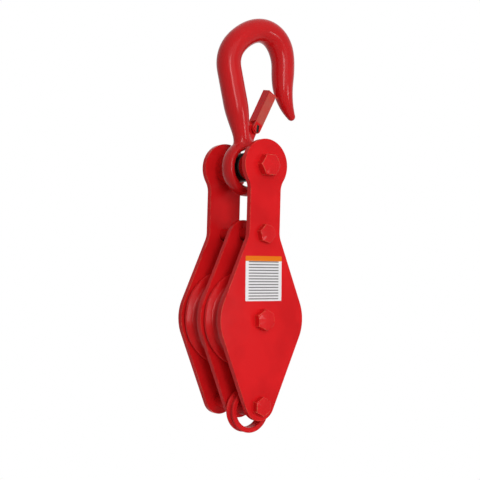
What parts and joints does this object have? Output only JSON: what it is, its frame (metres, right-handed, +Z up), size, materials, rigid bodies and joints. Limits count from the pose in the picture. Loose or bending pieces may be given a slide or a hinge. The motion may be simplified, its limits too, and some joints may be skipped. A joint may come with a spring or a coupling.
{
  "type": "double sheave block",
  "caption": "Red steel rope block: grooved sheaves between diamond cheek plates, a loose latched hook above and a rope becket below.",
  "frame": {"origin": "above the centre of the hook's bowl, on the hook's mid-plane, level with the saddle where the block hangs", "axes": "+Z up along the block, +X across the plates towards the hook's tip, +Y along the bolts from the heads to the nuts"},
  "size_m": [0.1186, 0.1047, 0.4358],
  "materials": {
    "red_paint": "semi-gloss red enamel",
    "bare_steel": "dark oiled steel",
    "zinc_steel": "bright zinc plate",
    "bronze": "oiled bearing bronze"
  },
  "bodies": {
    "hook": {"hook": "red_paint", "latch_pin": "red_paint", "latch_spring": "red_paint"},
    "latch": {"latch": "red_paint"},
    "frame": {"cheek_plate_front": "red_paint", "cheek_plate_rear": "red_paint", "centre_plate": "red_paint", "hook_bolt": "red_paint", "hook_nut": "red_paint", "hook_lock_washer": "red_paint", "hook_collar_front": "red_paint", "hook_collar_rear": "red_paint", "tie_bolt": "red_paint", "tie_nut": "red_paint", "tie_lock_washer": "red_paint", "tie_spacer_front": "red_paint", "tie_spacer_rear": "red_paint", "axle_bolt": "red_paint", "axle_nut": "red_paint", "axle_lock_washer": "red_paint", "becket_bolt": "red_paint", "becket_nut": "red_paint", "becket_lock_washer": "red_paint", "becket_spacer": "red_paint", "becket_spool": "red_paint", "hook_bush": "bare_steel", "axle_sleeve_front": "zinc_steel", "axle_sleeve_rear": "zinc_steel", "thrust_washers_front": "bronze", "thrust_washers_rear": "bronze"},
    "sheave_front": {"sheave_front": "red_paint", "sheave_bush_front": "bronze"},
    "sheave_rear": {"sheave_rear": "red_paint", "sheave_bush_rear": "bronze"},
    "becket": {"becket": "red_paint"}
  },
  "joints": [
    {"name": "hook_swing", "type": "hinge", "parent": "hook", "child": "frame", "pos_m": [-0.012, 0, -0.135], "axis": [0, 1, 0], "range_deg": [-105, 105]},
    {"name": "sheave_front_spin", "type": "hinge", "parent": "frame", "child": "sheave_front", "pos_m": [-0.012, -0.0176, -0.2935], "axis": [0, 1, 0], "continuous": true},
    {"name": "sheave_rear_spin", "type": "hinge", "parent": "frame", "child": "sheave_rear", "pos_m": [-0.012, 0.0176, -0.2935], "axis": [0, 1, 0], "continuous": true},
    {"name": "latch_pivot", "type": "hinge", "parent": "hook", "child": "latch", "pos_m": [-0.0022, 0, -0.0938], "axis": [0, -1, 0], "range_deg": [0, 38], "stiffness_Nm_per_rad": 0.03, "springref_deg": -34.38, "deforming": ["latch_spring"]},
    {"name": "becket_swing", "type": "hinge", "parent": "frame", "child": "becket", "pos_m": [-0.012, -0.0164, -0.3815], "axis": [0, 1, 0], "continuous": true}
  ]
}
